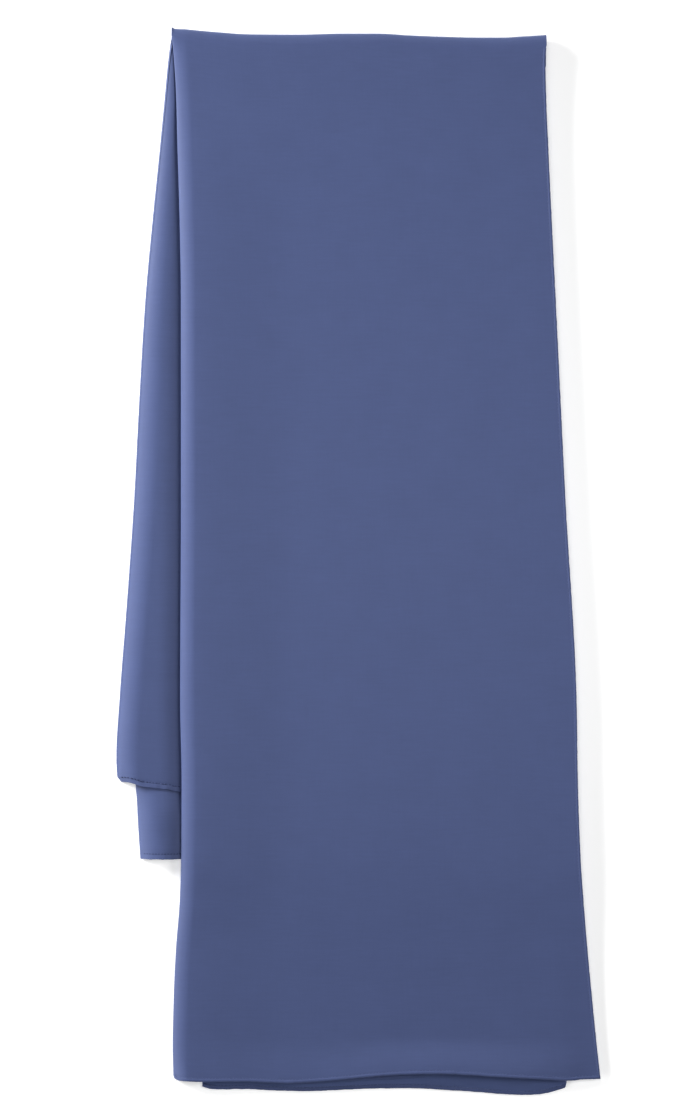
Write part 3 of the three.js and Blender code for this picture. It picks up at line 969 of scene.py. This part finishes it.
def rolled_hem(name, edge):
    """A narrow hem rolled over the edge: an oval run along it, of slightly uneven width and thickness."""
    hem = HEMS[name]
    grid = []
    for i, point in enumerate(edge.line):
        slow = noise.noise(Vector((i / SLOW_PULL["length"], hem["seed"], SLOW_PULL["seed"])))
        fine = noise.noise(Vector((i / FINE_PULL["length"], hem["seed"], FINE_PULL["seed"])))
        half_width = hem["width"] / 2 * (1 + SLOW_PULL["width"] * slow + FINE_PULL["width"] * fine)
        half_thick = hem["thick"] / 2 * (1 + SLOW_PULL["thick"] * slow + FINE_PULL["thick"] * fine)
        from_end = smooth(min(i, len(edge.line) - 1 - i) / HEM_ENDS)
        half_thick *= HEM_END_SHARE + (1 - HEM_END_SHARE) * from_end
        ring = []
        for k in range(HEM_SIDES + 1):
            a = 2 * math.pi * k / HEM_SIDES
            inward = hem["width"] / 2 - CLOTH / 2 + half_width * math.cos(a)
            up = hem["lift"] + half_thick * math.sin(a)
            ring.append(point + edge.inward[i] * inward * MM + edge.normal[i] * up * MM)
        grid.append(ring)
    piece = shaped_grid(name, grid)
    only(piece)
    bpy.ops.object.mode_set(mode="EDIT")
    bpy.ops.mesh.select_all(action="SELECT")
    bpy.ops.mesh.remove_doubles(threshold=WELD)
    bpy.ops.mesh.select_all(action="SELECT")
    bpy.ops.mesh.fill_holes(sides=0)
    bpy.ops.mesh.select_all(action="SELECT")
    bpy.ops.mesh.normals_make_consistent(inside=False)
    bpy.ops.object.mode_set(mode="OBJECT")
    bpy.ops.object.shade_smooth_by_angle(angle=HEM_CREASE)
    piece.data.materials.append(hem_finish)
    return piece


def one_stitch():
    """One stitch, modelled once: a bowed bead of thread that dips into the cloth at both ends."""
    nothing_selected()
    bpy.ops.mesh.primitive_uv_sphere_add(segments=STITCH_SEGMENTS, ring_count=STITCH_RINGS, radius=1)
    stitch = bpy.context.object
    for vertex in stitch.data.vertices:
        vertex.co.y -= STITCH_BOW * vertex.co.z**2
    uv = stitch.data.uv_layers.active
    uv.name = "Cut"
    for loop in stitch.data.loops:
        corner = stitch.data.vertices[loop.vertex_index].co
        uv.data[loop.index].uv = corner.x * MM, corner.z * MM
    stitch.data.polygons.foreach_set("use_smooth", [True] * len(stitch.data.polygons))
    return stitch


STITCH = one_stitch()


def stitch_row(name, edge, finish):
    """Stitches along a hem, each a copy of the one stitch, turned and sized a little unevenly."""
    row = STITCHES[name]
    pitch, seed = row["pitch"], row["seed"]
    step = (edge.line[1] - edge.line[0]).length / MM
    at = pitch
    copies = []
    while at < (len(edge.line) - 1) * step - pitch:
        i = int(at / step)
        wander = noise.noise(Vector((at / WANDER_LENGTH, seed, WANDER_SEED)))
        own = noise.noise(Vector((at * OWN_STEP, seed, OWN_SEED)))
        inset = row["inset"] + WANDER * wander
        centre = edge.line[i] + edge.inward[i] * inset * MM + edge.normal[i] * row["lift"] * MM
        half = 0.5 * row["length"] * (1 + OWN_LENGTH * own)
        along = edge.along[i] * half + edge.inward[i] * OWN_LEAN * own
        aside = edge.inward[i] * 0.5 * row["thread"]
        up = edge.normal[i] * 0.5 * row["thread"]
        stitch = STITCH.copy()
        stitch.data = STITCH.data.copy()
        bpy.context.scene.collection.objects.link(stitch)
        turn = Matrix((aside, up, along)).transposed() * MM
        stitch.data.transform(Matrix.Translation(centre) @ turn.to_4x4())
        copies.append(stitch)
        at += pitch * (1 + OWN_PITCH * own)
    only(copies[0])
    for stitch in copies:
        stitch.select_set(True)
    bpy.ops.object.join()
    piece = bpy.context.object
    piece.name = piece.data.name = name
    bpy.ops.object.mode_set(mode="EDIT")
    bpy.ops.mesh.select_all(action="SELECT")
    bpy.ops.mesh.normals_make_consistent(inside=False)
    bpy.ops.object.mode_set(mode="OBJECT")
    piece.data.materials.append(finish)
    return piece


def column(grid, k, start):
    return [row[k] for row in grid[start:]]


def hem_edge(grid, first, last=None):
    """The edge along the last section of a grid, from one point of it to another."""
    return Edge(grid[-1][first:last], grid[-1 - HEM_STEPS][first:last])


UNDER_LOW = len(under_grid[0]) - UNDER_POINTS
UNDER_MID = UNDER_LOW - (ARC_POINTS - 2)

front_hem_edge = hem_edge(front_grid, FOLDED_UNDER)
front_free_edge = Edge(column(front_grid, -1, FREE_START), column(front_grid, -1 - HEM_STEPS, FREE_START))
under_low_edge = hem_edge(under_grid, UNDER_LOW)
under_mid_edge = hem_edge(under_grid, 0, UNDER_MID)
back_upper_hem_edge = hem_edge(upper_grid, 0, UPPER_SHOWN)
back_free_edge = Edge(column(upper_grid, 0, BACK_FREE_START), column(upper_grid, HEM_STEPS, BACK_FREE_START))
back_lower_hem_edge = hem_edge(lower_grid, LOWER_FIRST, LOWER_TOP)
back_ground_hem_edge = hem_edge(lower_grid, GROUND_FIRST)

front_trim = [
    rolled_hem("front_hem", front_hem_edge),
    rolled_hem("front_free_edge_hem", front_free_edge),
    stitch_row("front_hem_stitches", front_hem_edge, thread_finish),
    stitch_row("front_free_edge_stitches", front_free_edge, thread_finish),
]
under_trim = [
    rolled_hem("under_low_hem", under_low_edge),
    rolled_hem("under_mid_hem", under_mid_edge),
    stitch_row("under_low_stitches", under_low_edge, thread_finish),
]
# The back hems' stitches take the dark thread: painted shade along their creases
back_upper_trim = [
    rolled_hem("back_upper_hem", back_upper_hem_edge),
    rolled_hem("back_free_edge_hem", back_free_edge),
    stitch_row("back_upper_hem_stitches", back_upper_hem_edge, sunk_thread_painted_shade_finish),
]
back_lower_trim = [
    rolled_hem("back_lower_hem", back_lower_hem_edge),
    rolled_hem("back_ground_hem", back_ground_hem_edge),
    stitch_row("back_lower_hem_stitches", back_lower_hem_edge, sunk_thread_painted_shade_finish),
]

bpy.data.objects.remove(STITCH, do_unlink=True)

sheets = [front_fall, front_under, back_upper, back_lower]
for piece in [*sheets, *front_trim, *under_trim, *back_upper_trim, *back_lower_trim]:
    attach(piece, "root")

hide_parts("front_fall")
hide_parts("front_under_fold", "hidden_layers")
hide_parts("back_fall_upper")
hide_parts("back_fall_lower")


# Floor, lights and camera

FLOOR_SIZE = 12
FLOOR_Z = -0.0002

# Softboxes that face the stole, their azimuths counted from +X towards +Y, in degrees, metres and watts
LIGHTS = table(
    "name azimuth elevation distance width height watts",
    ("UpperLeftSoftbox", 150, 15, 2.6, 1.2, 0.7, 144),
    ("LowerLeftSoftbox", 205, 15, 2.6, 1.2, 0.7, 50),
    ("EndSoftbox", 90, 30, 2.6, 1.2, 0.9, 12),
    ("RightSoftbox", 0, 30, 2.6, 1.2, 0.9, 44),
    ("OverheadSoftbox", 90, 88, 2.4, 2.0, 2.0, 5),
    ("TopSoftbox", 90, 90, 0.8, 0.4, 0.4, 1.2),
)


def floor():
    nothing_selected()
    bpy.ops.mesh.primitive_plane_add(size=FLOOR_SIZE, location=(0, 0, FLOOR_Z))
    plane = bpy.context.object
    plane.name = "Floor"
    plane.data.materials.append(floor_finish())


def softbox(name, azimuth, elevation, distance, width, height, watts):
    """A soft lamp that faces the stole."""
    around = math.radians(azimuth)
    up = math.radians(elevation)
    level = math.cos(up)
    place = Vector((math.cos(around) * level, math.sin(around) * level, math.sin(up))) * distance
    bpy.ops.object.light_add(type="AREA", location=place)
    light = bpy.context.object
    light.name = name
    light.data.shape = "RECTANGLE"
    light.data.size = width
    light.data.size_y = height
    light.data.energy = watts
    light.rotation_euler = (-place).to_track_quat("-Z", "Y").to_euler()


def studio_world():
    """A white surround that only the camera sees."""
    world = bpy.data.worlds.new("Studio")
    world.use_nodes = True
    tree = world.node_tree
    path = tree.nodes.new("ShaderNodeLightPath")
    background = tree.nodes["Background"]
    background.inputs["Color"].default_value = WHITE
    tree.links.new(path.outputs["Is Camera Ray"], background.inputs["Strength"])
    bpy.context.scene.world = world


floor()
for row in LIGHTS:
    softbox(**row)
studio_world()

# The lens, the sensor and the height of the face are in millimetres, and the depth of the view in metres
LENS = 120
SENSOR = 36
FACE_HEIGHT = 9.0
VIEW_DEPTH = 50
bpy.ops.object.camera_add()
camera = bpy.context.object
camera.name = "Camera"
camera.data.sensor_width = SENSOR
camera.data.lens = LENS
camera.data.clip_end = VIEW_DEPTH
camera.location = (
    (PHOTO_WIDTH / 2 - CENTRE_PIXEL[0]) * PIXEL * MM,
    (CENTRE_PIXEL[1] - PHOTO_HEIGHT / 2) * PIXEL * MM,
    (FACE_HEIGHT + PHOTO_HEIGHT * PIXEL * LENS / SENSOR) * MM,
)
bpy.context.scene.camera = camera
bpy.context.scene.view_settings.view_transform = "Standard"
